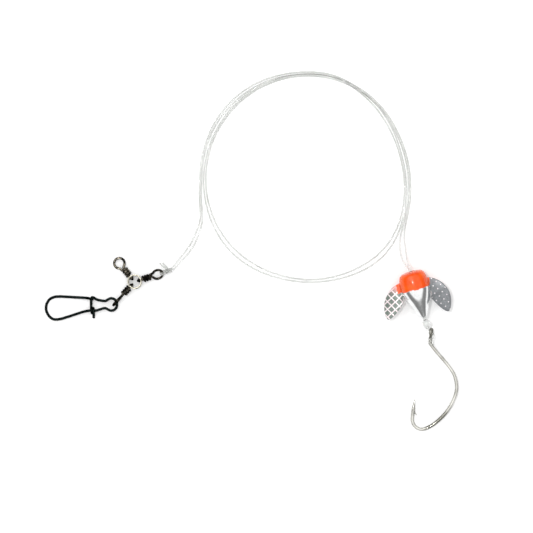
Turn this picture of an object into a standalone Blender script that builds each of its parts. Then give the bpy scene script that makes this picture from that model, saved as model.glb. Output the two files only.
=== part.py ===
"""A spinning-float rig for fishing: lock snap, three-way swivel, doubled clear leader laid in a
loose coil, winged float, bead and snelled wide-gap hook, lying on a flat surface.

Metres, +Z up, surface at z = 0. Positions on the rig are measured from the coil's centre, and
the whole rig is carried by one empty, so that the origin of the part lies under the middle of
the metal pieces and the float."""

import math

import bmesh
import bpy
import numpy as np
from mathutils import Matrix, Vector

MM = 0.001

# The coil's centre, seen from the part's origin.
COIL_CENTRE = (23.75, 72.67)

# Leader: one clear line folded double, so that two strands run side by side.
STRAND_RADIUS = 0.35
STRAND_SPACING = 1.7
COIL_MEAN_RADIUS = 45.6
COIL_HALF_WIDTH = 1.6
COIL_HEIGHT = 1.7

# Three-way swivel.
HUB_CENTRE = (-75.11, -45.36, 2.28)
HUB_TILT = (-4.83, -1.14)
HUB_OUTER_RADIUS = 3.15
HUB_WALL = 0.5
HUB_HALF_HEIGHT = 1.6
HUB_HOLE_RADIUS = 0.62
ARM_WIRE_RADIUS = 0.525
EYE_RADIUS = 2.28
HEAD_BASE_RADIUS = 1.1
HEAD_NEAR = 1.1
HEAD_FAR = 2.3
WRAP_START = 3.35
WRAP_PITCH = 1.1
WRAP_TURNS = 4
LINE_ARM = {"heading": 18.0, "reach": 10.6, "eye_roll": 40.0}
FREE_ARM = {"heading": 129.4, "reach": 10.6, "eye_roll": 0.0}
SNAP_ARM = {"heading": 228.0, "reach": 11.6, "eye_roll": 90.0}

# Knot at the swivel.
KNOT_LOOP_RADIUS = 0.95
KNOT_RADIUS = 1.05
KNOT_LENGTH = 2.6
TAG_LENGTHS = (3.4, 2.9)

# Lock snap, in its own plane: x towards the swivel from the far bend, 0 at the bulb's tip.
SNAP_TIP = (-82.78, -55.28, 2.3)
SNAP_HEADING = 0.85
SNAP_TILT = -3.23
SNAP_WIRE_RADIUS = 0.525
SNAP_WRAP_RADIUS = 1.17
SNAP_FAR_BEND = (-31.4, -1.2)

# Float, along its own axis from nose to tail.
FLOAT_NOSE = (46.02, -40.88, 7.3)
FLOAT_HEADING = -73.1
FLOAT_SLOPE = 4.5
FLOAT_LENGTH = 21.0
LINE_BORE_RADIUS = 0.95
FILM_THICKNESS = 0.25
WING_HALF_WIDTH = 4.25
WING_FULLNESS = 0.62
WING_NECK = 0.08
WING_SLOT = 0.8
LEFT_WING = {"side": -1, "root": (5.9, 5.4), "tip": (17.2, 15.6), "bulge": 0.9, "pitch": 30.0}
RIGHT_WING = {"side": 1, "root": (6.4, 5.4), "tip": (21.4, 11.2), "bulge": 1.5, "pitch": -13.0}
BEAD_RADIUS = 2.0
BEAD_STATION = 24.0

# Hook, in its own plane, measured from the middle of its eye.
HOOK_EYE = (55.22, -67.53, 5.0)
HOOK_TILT = 5.7
HOOK_WIRE_RADIUS = 0.72
HOOK_EYE_RADIUS = 1.45
HOOK_EYE_WIRE = 0.575
HOOK_EYE_ROLL = 72.0
SNELL_FROM = (-0.4, -2.35)
SNELL_TO = (-0.05, -5.6)
SNELL_TURNS = 5

# Route of the doubled line: x, y, z of the middle of the pair, and half the distance between
# the two strands. The first runs from the knot to the coil, the second from the coil through
# the float and the bead to the hook's eye.
SWIVEL_SIDE_ROUTE = (
    (-58.6, -39.9, 2.05, 0.42),
    (-57.3, -38.5, 1.60, 0.55),
    (-55.2, -36.0, 0.85, 0.70),
    (-52.2, -32.5, 0.45, 0.77),
    (-49.9, -29.2, 0.40, 0.77),
    (-48.3, -25.9, 0.40, 0.75),
    (-46.4, -21.0, 0.40, 0.62),
    (-45.1, -17.0, 0.40, 0.42),
)
LURE_SIDE_ROUTE = (
    (43.3, -20.75, 0.55, 0.40),
    (42.5, -25.6, 1.20, 0.85),
    (42.6, -30.0, 2.90, 1.15),
    (43.1, -34.0, 5.20, 1.15),
    (44.2, -37.4, 6.95, 0.75),
    (45.65, -39.65, 7.40, 0.40),
)
LINE_END_STATION = 26.25

COLLECTION = "spinning_float_rig"
CUTTERS = "cutters"


def clear_scene():
    for obj in list(bpy.data.objects):
        bpy.data.objects.remove(obj, do_unlink=True)
    for name in (COLLECTION, CUTTERS):
        collection = bpy.data.collections.new(name)
        bpy.context.scene.collection.children.link(collection)
    bpy.data.collections[CUTTERS].hide_render = True


def material(name, colour, roughness, metallic=0.0, transmission=0.0):
    made = bpy.data.materials.new(name)
    made.use_nodes = True
    shader = made.node_tree.nodes["Principled BSDF"]
    shader.inputs["Base Color"].default_value = (*colour, 1.0)
    shader.inputs["Roughness"].default_value = roughness
    shader.inputs["Metallic"].default_value = metallic
    shader.inputs["Transmission Weight"].default_value = transmission
    return made


def empty(name, location, parent=None, rotation=(0.0, 0.0, 0.0)):
    """An empty, with its place in millimetres and its turns about X, Y and Z in degrees."""
    made = bpy.data.objects.new(name, None)
    made.location = Vector(location) * MM
    made.rotation_euler = [math.radians(angle) for angle in rotation]
    made.parent = parent
    bpy.data.collections[COLLECTION].objects.link(made)
    return made


def add_object(name, data, surface, parent=None, collection=COLLECTION):
    made = bpy.data.objects.new(name, data)
    made.parent = parent
    if surface:
        data.materials.append(surface)
    bpy.data.collections[collection].objects.link(made)
    return made


def smooth_path(points, spacing):
    """Points a fixed spacing apart on a Catmull-Rom curve through the given ones."""
    knots = np.array(points, float)
    ends = np.vstack([2 * knots[0] - knots[1], knots, 2 * knots[-1] - knots[-2]])
    fine = []
    for i in range(len(knots) - 1):
        p0, p1, p2, p3 = ends[i : i + 4]
        for t in np.arange(0.0, 1.0, 0.05):
            fine.append(
                0.5
                * (
                    2 * p1
                    + (p2 - p0) * t
                    + (2 * p0 - 5 * p1 + 4 * p2 - p3) * t**2
                    + (3 * p1 - p0 - 3 * p2 + p3) * t**3
                )
            )
    fine.append(knots[-1])
    fine = np.array(fine)
    steps = np.linalg.norm(np.diff(fine[:, :3], axis=0), axis=1)
    run = np.concatenate([[0.0], np.cumsum(steps)])
    count = max(2, round(run[-1] / spacing) + 1)
    stations = np.linspace(0.0, run[-1], count)
    return np.column_stack([np.interp(stations, run, column) for column in fine.T])


def wire(name, points, radius, surface, parent, scales=None):
    """A round wire along points in millimetres, thinner where scales say so."""
    data = bpy.data.curves.new(name, "CURVE")
    data.dimensions = "3D"
    data.bevel_depth = radius * MM
    data.bevel_resolution = 2
    data.use_fill_caps = True
    spline = data.splines.new("POLY")
    spline.points.add(len(points) - 1)
    for i, point in enumerate(points):
        spline.points[i].co = (*(Vector(point[:3]) * MM), 1.0)
        spline.points[i].radius = scales[i] if scales is not None else 1.0
    spline.use_smooth = True
    return add_object(name, data, surface, parent)


def as_mesh(curve):
    """The same object as a mesh with its caps welded, ready for Boolean modifiers."""
    bpy.context.view_layer.update()
    evaluated = curve.evaluated_get(bpy.context.evaluated_depsgraph_get())
    data = bpy.data.meshes.new_from_object(evaluated)
    weld = bmesh.new()
    weld.from_mesh(data)
    bmesh.ops.remove_doubles(weld, verts=weld.verts, dist=1e-6)
    weld.to_mesh(data)
    weld.free()
    name, parent, placed = curve.name, curve.parent, curve.matrix_world.copy()
    bpy.data.objects.remove(curve, do_unlink=True)
    made = add_object(name, data, None, parent)
    made.matrix_world = placed
    return made


def turned(name, profile, steps, surface, parent, collection=COLLECTION):
    """A body of revolution about its own X axis. The profile lists (x, radius) in millimetres,
    closed, running from small to large x on its outer side."""
    data = bpy.data.meshes.new(name)
    shape = bmesh.new()
    corners = [shape.verts.new((radius * MM, 0.0, -x * MM)) for x, radius in profile]
    for here, after in zip(corners, corners[1:] + corners[:1]):
        shape.edges.new((here, after))
    shape.to_mesh(data)
    shape.free()
    made = add_object(name, data, surface, parent, collection)
    screw = made.modifiers.new("turn", "SCREW")
    screw.axis = "Z"
    screw.steps = steps
    screw.render_steps = steps
    screw.use_merge_vertices = True
    screw.merge_threshold = 1e-6
    screw.use_smooth_shade = True
    made.rotation_euler = (0.0, -math.pi / 2, 0.0)
    return made


def primitive(name, build, surface, parent, collection=COLLECTION):
    """An object whose mesh is made by one bmesh operator, called as build(mesh)."""
    data = bpy.data.meshes.new(name)
    shape = bmesh.new()
    build(shape)
    shape.to_mesh(data)
    shape.free()
    data.shade_smooth()
    return add_object(name, data, surface, parent, collection)


def cone(name, length, near_radius, far_radius, sides, surface, parent, collection=COLLECTION):
    """A cylinder or cone along X, from x = 0 to its length."""

    def build(shape):
        place = Matrix.Translation((length * MM / 2, 0, 0)) @ Matrix.Rotation(math.pi / 2, 4, "Y")
        bmesh.ops.create_cone(
            shape, cap_ends=True, segments=sides, radius1=near_radius * MM,
            radius2=far_radius * MM, depth=length * MM, matrix=place,
        )

    return primitive(name, build, surface, parent, collection)


def ring(name, ring_radius, wire_radius, surface, parent, around=28, sides=10):
    """A round ring of wire about its own Z axis."""
    angles = np.linspace(0.0, 2 * math.pi, sides, endpoint=False)
    profile = [
        (wire_radius * math.sin(angle), ring_radius + wire_radius * math.cos(angle))
        for angle in angles
    ]
    made = turned(name, profile, around, surface, parent)
    made.rotation_euler = (0.0, 0.0, 0.0)
    return made


def box(name, lowest, highest, parent, collection=CUTTERS):
    def build(shape):
        bmesh.ops.create_cube(shape, size=1.0)
        size = (Vector(highest) - Vector(lowest)) * MM
        middle = (Vector(highest) + Vector(lowest)) * MM / 2
        bmesh.ops.scale(shape, vec=size, verts=shape.verts)
        bmesh.ops.translate(shape, vec=middle, verts=shape.verts)

    return primitive(name, build, None, parent, collection)


def combine(target, tool, operation):
    """A Boolean between two objects. The tool becomes a hidden helper."""
    modifier = target.modifiers.new(tool.name, "BOOLEAN")
    modifier.object = tool
    modifier.operation = operation
    modifier.solver = "EXACT"
    for collection in list(tool.users_collection):
        collection.objects.unlink(tool)
    bpy.data.collections[CUTTERS].objects.link(tool)
    tool.hide_render = True
    tool.display_type = "WIRE"


def ridged_sleeve(name, start, pitch, turns, core, outer, bore, surface, parent):
    """Wire wrapped side by side round a shank: a turned sleeve with one ridge a turn."""
    profile = []
    for turn in range(turns):
        middle = start + pitch * (turn + 0.5)
        for offset, rise in ((-0.45, 0.35), (-0.2, 0.92), (0.2, 0.92), (0.45, 0.35)):
            profile.append((middle + offset * pitch, core + rise * (outer - core)))
    last = start + pitch * turns
    inner = [(last, core), (last, bore), (start, bore), (start, core)]
    return turned(name, profile + inner, 14, surface, parent)


def swivel_arm(name, arm, surface, hub_frame):
    """One wire of the swivel: a head inside the hub, a shank, a wrapped stretch and an eye."""
    frame = empty(name + "_axis", (0, 0, 0), hub_frame, (0, 0, arm["heading"]))
    shank_end = arm["reach"] - EYE_RADIUS + 0.2
    shank = cone(name, shank_end - HEAD_NEAR, ARM_WIRE_RADIUS, ARM_WIRE_RADIUS, 12, surface, frame)
    shank.location.x = HEAD_NEAR * MM
    eye = ring(name + "_eye", EYE_RADIUS, ARM_WIRE_RADIUS, surface, frame)
    eye.location.x = arm["reach"] * MM
    eye.rotation_euler.x = math.radians(arm["eye_roll"])
    combine(shank, eye, "UNION")
    wraps = ridged_sleeve(
        name + "_wraps", WRAP_START, WRAP_PITCH, WRAP_TURNS, 2 * ARM_WIRE_RADIUS,
        3 * ARM_WIRE_RADIUS, 0.2, surface, frame,
    )
    combine(shank, wraps, "UNION")
    head = cone(
        name + "_head", HEAD_FAR - HEAD_NEAR, 0.3, HEAD_BASE_RADIUS, 16, surface, frame
    )
    head.location.x = HEAD_NEAR * MM
    combine(shank, head, "UNION")
    return shank


def make_swivel(rig, brass, steel):
    frame = empty("swivel_frame", HUB_CENTRE, rig, (*HUB_TILT, 0.0))
    inner = HUB_OUTER_RADIUS - HUB_WALL
    edge = HUB_HALF_HEIGHT
    hub = turned(
        "swivel_hub",
        [(-edge, HUB_OUTER_RADIUS), (edge, HUB_OUTER_RADIUS), (edge, inner), (-edge, inner)],
        48, brass, frame,
    )
    hub.rotation_euler = (0.0, 0.0, 0.0)
    for name, arm in (("line", LINE_ARM), ("free", FREE_ARM), ("snap", SNAP_ARM)):
        heading = empty(f"{name}_hole_axis", (0, 0, 0), frame, (0, 0, arm["heading"]))
        hole = cone(
            f"{name}_hole", HUB_OUTER_RADIUS + 1, HUB_HOLE_RADIUS, HUB_HOLE_RADIUS, 16,
            None, heading, CUTTERS,
        )
        hole.location.x = MM
        combine(hub, hole, "DIFFERENCE")
    swivel_arm("swivel_line_arm", LINE_ARM, steel, frame)
    swivel_arm("swivel_free_arm", FREE_ARM, steel, frame)
    swivel_arm("swivel_snap_arm", SNAP_ARM, steel, frame)
    return frame


def make_swivel_knot(hub_frame, clear):
    """The line's turn through the eye, the wrapped knot behind it and the two cut tag ends."""
    frame = empty("knot_axis", (0, 0, 0), hub_frame, (0, 0, LINE_ARM["heading"]))
    eye_end = LINE_ARM["reach"] + EYE_RADIUS
    loop = ring("knot_loop", KNOT_LOOP_RADIUS, STRAND_RADIUS, clear, frame, 20, 8)
    loop.location.x = eye_end * MM
    turn = Matrix.Rotation(math.radians(LINE_ARM["eye_roll"]), 4, "X")
    loop.rotation_euler = (turn @ Matrix.Rotation(math.pi / 2, 4, "X")).to_euler()
    start = eye_end + KNOT_LOOP_RADIUS + STRAND_RADIUS + 0.12
    knot = ridged_sleeve(
        "swivel_knot", 0.0, KNOT_LENGTH / 4, 4, KNOT_RADIUS - 0.25, KNOT_RADIUS, 0.15, clear,
        frame,
    )
    knot.location.x = start * MM
    for letter, length, side in zip("ab", TAG_LENGTHS, (-1, 1)):
        tag = cone(f"tag_end_{letter}", length, STRAND_RADIUS, STRAND_RADIUS, 8, clear, frame)
        tag.location = Vector((start + 0.9 + 0.4 * side, 1.5, 0.1)) * MM
        tag.rotation_euler.z = math.radians(118.0 - 3.0 * side)


def strands(name, route, surface, rig):
    """The two strands of a route, each a tube beside the middle of the pair."""
    path = smooth_path(route, STRAND_SPACING)
    ahead = np.gradient(path[:, :3], axis=0)
    beside = np.column_stack([-ahead[:, 1], ahead[:, 0]])
    beside /= np.linalg.norm(beside, axis=1)[:, None]
    for letter, side in (("a", 1), ("b", -1)):
        moved = path[:, :3].copy()
        moved[:, :2] += side * beside * path[:, 3:]
        wire(f"{name}_{letter}", moved, STRAND_RADIUS, surface, rig)


def along_float(distance):
    """A point on the float's axis, with the strands' half distance inside the bore."""
    heading, slope = math.radians(FLOAT_HEADING), math.radians(FLOAT_SLOPE)
    ahead = (
        math.cos(slope) * math.cos(heading),
        math.cos(slope) * math.sin(heading),
        -math.sin(slope),
    )
    return (*(start + distance * part for start, part in zip(FLOAT_NOSE, ahead)), 0.37)


def make_leader(rig, clear):
    ring_half = COIL_HALF_WIDTH
    low, high = 0.06, COIL_HEIGHT
    profile = [
        (-high, COIL_MEAN_RADIUS - ring_half + 0.5),
        (-high, COIL_MEAN_RADIUS + ring_half - 0.5),
        (-(low + high) / 2, COIL_MEAN_RADIUS + ring_half),
        (-low, COIL_MEAN_RADIUS + ring_half - 0.5),
        (-low, COIL_MEAN_RADIUS - ring_half + 0.5),
        (-(low + high) / 2, COIL_MEAN_RADIUS - ring_half),
    ]
    coil = turned("leader_coil", profile, 64, clear, rig)
    coil.rotation_euler = (0.0, 0.0, 0.0)
    strands("leader_swivel_side", SWIVEL_SIDE_ROUTE, clear, rig)
    bored = tuple(along_float(station) for station in np.linspace(0.0, LINE_END_STATION, 6))
    strands("leader_lure_side", LURE_SIDE_ROUTE + bored, clear, rig)


def snap_wrap(centre_x, leg_y):
    """One and a quarter turns of the crossbar's wire round the lower leg, ending in its tail."""
    turns = 1.25
    points = []
    for angle in np.linspace(0.0, 2 * math.pi * turns, 16):
        advance = SNAP_WRAP_RADIUS * (angle / (2 * math.pi * turns) - 0.5)
        points.append(
            (
                centre_x + advance,
                leg_y + SNAP_WRAP_RADIUS * math.cos(angle),
                SNAP_WRAP_RADIUS * math.sin(angle),
            )
        )
    return points


def make_snap(rig, steel):
    frame = empty("snap_frame", SNAP_TIP, rig, (0.0, SNAP_TILT, SNAP_HEADING))
    wrap = snap_wrap(-10.9, -2.6)
    crossbar = [(-11.35, 2.6, 0.0), (-11.45, 0.6, 0.0)]
    upper_leg = [(-5.4, 1.6, 0.0), (-8.6, 2.15, 0.0), (-10.3, 3.1, 0.0), (-11.0, 3.25, 0.0)]
    bulb = [(-4.0, 2.2, 0.0), (-2.7, 2.7, 0.0), (-1.2, 2.3, 0.0), (-0.2, 1.0, 0.0)]
    bulb_below = [(x, -y, z) for x, y, z in reversed(bulb)]
    lower_leg = [(-5.4, -1.6, 0.0), (-7.6, -2.1, 0.0), (-9.4, -2.58, 0.0), (-12.6, -2.6, 0.0)]
    far_leg = [
        (-15.5, -3.2, 0.0), (-21.0, -4.9, 0.0), (-25.4, -6.1, 0.0), (-28.2, -6.1, 0.0),
        (-30.2, -4.6, 0.0), (-31.2, -2.6, 0.0), (SNAP_FAR_BEND[0], SNAP_FAR_BEND[1] - 0.1, 0.0),
    ]
    tail = [(-10.3, -5.95, 1.0), (-10.32, -4.2, SNAP_WRAP_RADIUS)]
    centreline = tail + wrap[::-1] + crossbar[::-1] + upper_leg[::-1]
    centreline += bulb + bulb_below + lower_leg + far_leg
    wire("snap_wire", smooth_path(centreline, 0.95), SNAP_WIRE_RADIUS, steel, frame)
    latch = [
        (SNAP_FAR_BEND[0], SNAP_FAR_BEND[1] + 0.1, 0.0), (-31.1, 0.6, 0.0),
        (-29.6, 2.6, 0.0), (-27.4, 3.55, 0.0), (-24.5, 3.7, 0.0), (-18.0, 3.2, 0.0),
        (-13.9, 2.8, 0.0), (-12.7, 2.55, 0.35), (-12.0, 2.3, 1.05), (-11.2, 2.0, 1.28),
        (-10.4, 1.75, 1.0), (-9.95, 1.55, 0.2), (-9.9, 1.5, -0.2),
    ]
    wire("snap_latch", smooth_path(latch, 0.95), SNAP_WIRE_RADIUS, steel, frame)


def wing_point(wing, along, across):
    """A point of the wing's mid surface in the float's frame; along runs from 0 at the root to
    1 at the tip, and across from -1 on the outer edge to 1 on the inner one."""
    side = wing["side"]
    root = Vector((wing["root"][0], side * wing["root"][1], 0.0))
    tip = Vector((wing["tip"][0], side * wing["tip"][1], 0.0))
    lie = math.atan2(tip.y - root.y, tip.x - root.x)
    outward = Vector((-math.sin(lie), math.cos(lie), 0.0)) * side
    middle = root.lerp(tip, along) + outward * wing["bulge"] * math.sin(math.pi * along)
    ease = min(max((along - WING_NECK) / 0.36, 0.0), 1.0)
    ease = ease * ease * (3 - 2 * ease)
    turn = ease * (lie - side * math.pi / 2)
    pitch = math.radians(wing["pitch"]) * ease
    cross = Vector((math.cos(turn) * math.cos(pitch), math.sin(turn) * math.cos(pitch), 0.0))
    cross.z = math.sin(pitch)
    half = WING_HALF_WIDTH * math.sin(math.pi * (0.14 + 0.855 * along)) ** WING_FULLNESS
    camber = 0.5 * ease * (1 - across**2)
    return middle + cross * half * across + Vector((0.0, 0.0, camber))


def make_wing(name, wing, film, frame):
    def build(shape):
        bmesh.ops.create_grid(shape, x_segments=14, y_segments=6, size=0.5)
        for vert in shape.verts:
            along, across = vert.co.x + 0.5, 2 * vert.co.y
            vert.co = wing_point(wing, along, across) * MM

    blade = primitive(name, build, film, frame)
    skin = blade.modifiers.new("film", "SOLIDIFY")
    skin.thickness = FILM_THICKNESS * MM
    skin.offset = 0.0
    return blade


def make_float(rig, paint, film):
    frame = empty("float_frame", FLOAT_NOSE, rig, (0.0, FLOAT_SLOPE, FLOAT_HEADING))
    outline = [
        (0.0, 2.4), (0.35, 4.2), (1.2, 5.4), (2.8, 6.05), (4.8, 6.4), (7.0, 6.5), (9.2, 6.4),
        (12.0, 5.6), (15.3, 4.1), (18.3, 2.6), (20.4, 1.6), (FLOAT_LENGTH, 1.3),
    ]
    bore = [(FLOAT_LENGTH, LINE_BORE_RADIUS), (0.0, LINE_BORE_RADIUS)]
    body = turned("float_body", outline + bore, 32, paint, frame)
    for name, wing in (("left", LEFT_WING), ("right", RIGHT_WING)):
        start, depth = wing["root"]
        near, far = sorted((wing["side"] * (depth - 0.35), wing["side"] * 9.0))
        slot = box(
            f"{name}_wing_slot", (start - 2.8, near, -WING_SLOT / 2),
            (start + 3.6, far, WING_SLOT / 2), frame,
        )
        combine(body, slot, "DIFFERENCE")
        make_wing(f"wing_{name}", wing, film, frame)
    return frame


def make_bead(frame, clear):
    half = BEAD_RADIUS
    tilt = math.asin(LINE_BORE_RADIUS / half)
    angles = np.linspace(math.pi - tilt, tilt, 11)
    outline = [(half * math.cos(angle), half * math.sin(angle)) for angle in angles]
    bead = turned("bead", outline, 20, clear, frame)
    bead.location.x = BEAD_STATION * MM
    return bead


def make_hook(rig, nickel, clear):
    frame = empty("hook_frame", HOOK_EYE, rig, (HOOK_TILT, 0.0, 0.0))
    outline = [
        (-0.2, -1.3), (-0.42, -2.6), (-0.4, -4.2), (0.0, -5.6), (1.5, -7.6), (3.7, -10.2),
        (7.5, -14.7), (10.1, -18.8), (11.15, -23.3), (10.9, -26.8), (9.2, -31.3),
        (6.4, -35.7), (2.5, -39.6), (-0.9, -41.9), (-4.3, -42.9), (-7.0, -41.6),
        (-8.2, -39.2), (-8.1, -36.6), (-7.7, -33.4), (-7.2, -30.1),
    ]
    path = smooth_path([(x, y, 0.0) for x, y in outline], 1.25)
    steps = np.linalg.norm(np.diff(path, axis=0), axis=1)
    to_point = np.concatenate([np.cumsum(steps[::-1])[::-1], [0.0]])
    scales = np.clip(0.08 + to_point / 6.0, 0.0, 1.0)
    hook = as_mesh(wire("hook", path, HOOK_WIRE_RADIUS, nickel, frame, scales))
    eye = ring("hook_eye", HOOK_EYE_RADIUS, HOOK_EYE_WIRE, nickel, frame, 24, 10)
    eye.rotation_euler = (0.0, math.radians(HOOK_EYE_ROLL), 0.0)
    combine(hook, eye, "UNION")
    barb = cone("hook_barb", 3.2, 0.5, 0.06, 8, nickel, frame)
    barb.location = Vector((-7.55, -33.9, 0.0)) * MM
    barb.rotation_euler.z = math.radians(-66.0)
    combine(hook, barb, "UNION")
    down = Vector(SNELL_TO) - Vector(SNELL_FROM)
    snell = ridged_sleeve(
        "snell_wraps", 0.0, down.length / SNELL_TURNS, SNELL_TURNS, HOOK_WIRE_RADIUS + 0.5,
        HOOK_WIRE_RADIUS + 2 * STRAND_RADIUS + 0.2, HOOK_WIRE_RADIUS + 0.3, clear, frame,
    )
    snell.location = Vector((*SNELL_FROM, 0.0)) * MM
    snell.rotation_euler = (0.0, -math.pi / 2, math.atan2(down.y, down.x))


def main():
    clear_scene()
    steel = material("black_nickel", (0.03, 0.03, 0.032), 0.3, 0.9)
    brass = material("hub_brass", (0.55, 0.5, 0.42), 0.3, 1.0)
    clear = material("clear_line", (0.9, 0.92, 0.9), 0.1, 0.0, 0.8)
    paint = material("float_paint", (0.85, 0.12, 0.03), 0.2)
    film = material("wing_film", (0.7, 0.7, 0.72), 0.25, 0.8)
    nickel = material("hook_nickel", (0.6, 0.6, 0.58), 0.25, 1.0)
    rig = empty("rig", (*COIL_CENTRE, 0.0))
    make_leader(rig, clear)
    swivel_frame = make_swivel(rig, brass, steel)
    make_swivel_knot(swivel_frame, clear)
    make_snap(rig, steel)
    float_frame = make_float(rig, paint, film)
    make_bead(float_frame, clear)
    make_hook(rig, nickel, clear)


main()
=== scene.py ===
"""Looks of the spinning-float rig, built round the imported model, in metres in its frame.

Designed in millimetres in the same local frames as the solids: the coil's centre, the swivel's
hub, the snap, the float and the hook each have one."""

import math

import bpy
import numpy as np
from mathutils import Euler, Matrix, Vector


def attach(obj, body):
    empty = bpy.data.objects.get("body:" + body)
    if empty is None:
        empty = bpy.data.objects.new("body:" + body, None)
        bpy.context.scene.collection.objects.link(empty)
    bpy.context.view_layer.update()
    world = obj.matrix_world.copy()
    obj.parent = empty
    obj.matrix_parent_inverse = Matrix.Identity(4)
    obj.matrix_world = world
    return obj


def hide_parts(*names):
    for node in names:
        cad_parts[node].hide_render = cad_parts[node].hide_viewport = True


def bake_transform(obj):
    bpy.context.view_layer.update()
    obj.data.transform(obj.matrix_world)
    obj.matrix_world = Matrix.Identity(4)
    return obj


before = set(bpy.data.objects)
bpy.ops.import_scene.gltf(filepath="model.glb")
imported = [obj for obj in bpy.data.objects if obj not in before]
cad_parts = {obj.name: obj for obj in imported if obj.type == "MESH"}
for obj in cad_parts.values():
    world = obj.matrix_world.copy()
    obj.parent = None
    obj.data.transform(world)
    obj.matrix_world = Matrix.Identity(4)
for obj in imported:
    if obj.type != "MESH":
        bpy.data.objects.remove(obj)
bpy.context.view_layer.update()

MM = 0.001

COIL_CENTRE = (23.75, 72.67)
STRAND_RADIUS = 0.35
# The middle of a strand on the floor is at FLOOR_LEVEL. Strands that touch are CLOSEST apart where
# one lies over the other, and TIGHT_HALF_GAP each side of their middle in a hole or a knot.
FLOOR_LEVEL = 0.4
CLOSEST = 0.71
TIGHT_HALF_GAP = 0.37
LINE_SIDES = 10
WIRE_SIDES = 14

# Each point of a route has its place and height from the coil's centre, and half the gap between
# the strands there.
SWIVEL_SIDE_ROUTE = (
    (-58.6, -39.9, 2.05, 0.42),
    (-57.3, -38.5, 1.60, 0.55),
    (-55.2, -36.0, 0.85, 0.70),
    (-52.2, -32.5, 0.45, 0.77),
    (-49.9, -29.2, 0.40, 0.77),
    (-48.3, -25.9, 0.40, 0.75),
    (-46.4, -21.0, 0.40, 0.62),
    (-45.1, -17.0, 0.40, 0.42),
)
# The coil as it lies: it runs clockwise, over the top twice. It is round apart from a few lobes,
# each with the angle of its middle, how far it goes outwards, and its width in degrees. The two
# strands lie side by side and part by a few lobes of the same kind.
COIL_FROM, COIL_TO = 200.65, -385.6
COIL_STEP = 1.5
COIL_RADIUS = 45.3
COIL_LOBES = (
    (200, 2.6, 12), (125, 1.3, 60), (75, 0.8, 14), (18, -2.2, 32), (-43, 2.0, 24),
    (-106, -0.7, 22), (-195, -1.1, 50), (-290, 0.6, 35), (-335, -0.4, 15), (-395, 3.1, 25),
)
HALF_GAP = 0.4
GAP_LOBES = ((125, 0.2, 25), (40, 0.25, 16), (-50, 0.65, 24), (-132, 0.55, 34))
COIL_END_LIFT = 0.15
# All of these but JOIN_ROUNDS count points of the leader's path, which are 1 to 1.2 mm apart.
COIL_END_RUN = 14
JOIN_REACH = 7
JOIN_ROUNDS = 14
LIFT_REACH = 3
LIFT_SMOOTHING = 13
LIFT_OVERRUN = 6
LURE_SIDE_ROUTE = (
    (43.3, -20.75, 0.55, 0.40),
    (42.5, -25.6, 1.20, 0.85),
    (42.6, -30.0, 2.90, 1.15),
    (43.1, -34.0, 5.20, 1.15),
    (44.2, -37.4, 6.95, 0.75),
    (45.65, -39.65, 7.40, 0.40),
)
LINE_END_STATION = 26.25

HUB_CENTRE = (-75.11, -45.36, 2.28)
HUB_TILT = (-4.83, -1.14)
HUB_OUTER_RADIUS = 3.15
HUB_WALL = 0.5
HUB_HALF_HEIGHT = 1.6
HUB_CORNER = 0.17
HUB_HOLE_RADIUS = 0.62
ARM_WIRE_RADIUS = 0.525
EYE_RADIUS = 2.28
EYE_FROM, EYE_SWEEP = 218.0, 286.0
WRAPS_END = 7.67
WRAP_RADIUS = 1.05
WRAP_PITCH = 1.13
WRAP_TURNS = 3.25
ARMS = {
    "line": {"heading": 18.0, "reach": 10.6, "eye_roll": 40.0},
    "free": {"heading": 129.4, "reach": 10.6, "eye_roll": 0.0},
    "snap": {"heading": 228.0, "reach": 11.6, "eye_roll": 90.0},
}

SNAP_TIP = (-82.78, -55.28, 2.3)
SNAP_TURN = (0.0, -3.23, 0.85)
SNAP_WIRE_RADIUS = 0.59
SNAP_WRAP_RADIUS = 1.12
SNAP_WRAP_TURNS = 1.25
SNAP_WRAP_PLACE = (-10.9, -2.6)
LATCH_FROM = -30.4

FLOAT_NOSE = (46.02, -40.88, 7.3)
FLOAT_HEADING = -73.1
FLOAT_SLOPE = 4.5
FLOAT_LENGTH = 21.0
LINE_BORE_RADIUS = 0.95
FILM_THICKNESS = 0.14
SLOT_HALF_HEIGHT = 0.34
SLOT_DEEPER = 0.35
SLOT_BEFORE, SLOT_AFTER = 2.8, 3.6
PAST_THE_SHELL = 9.0
# A wing's width follows a half sine, from WING_PHASE of it and over WING_SPAN of it.
WING_HALF_WIDTH = 4.25
WING_PHASE, WING_SPAN = 0.14, 0.855
WING_FULLNESS = 0.62
WING_NECK = 0.08
WING_EASE = 0.36
WING_CAMBER = 0.5
WINGS = {
    "left": {"side": -1, "root": (5.9, 5.4), "tip": (17.2, 15.6), "bulge": 0.9, "pitch": 30.0},
    "right": {"side": 1, "root": (6.4, 5.4), "tip": (21.4, 11.2), "bulge": 1.5, "pitch": -13.0},
}
BEAD_RADIUS = 2.0
BEAD_STATION = 24.0

HOOK_EYE = (55.22, -67.53, 5.0)
HOOK_TILT = 5.7
HOOK_WIRE_RADIUS = 0.72
HOOK_TAPER_FROM, HOOK_TAPER_TO = 7.5, 10.0
POINT_LENGTH = 5.2
POINT_BLUNTNESS = 0.13
POINT_FULLNESS = 0.8
HOOK_EYE_RADIUS = 1.45
HOOK_EYE_WIRE = 0.575
HOOK_EYE_ROLL = 72.0


# ---------------------------------------------------------------- frames and shapes


def placed(parent, location, turn=(0.0, 0.0, 0.0)):
    """A frame inside another: its place in millimetres and its turns in degrees."""
    angles = Euler([math.radians(angle) for angle in turn])
    return parent @ Matrix.LocRotScale(Vector(location) * MM, angles, None)


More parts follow.
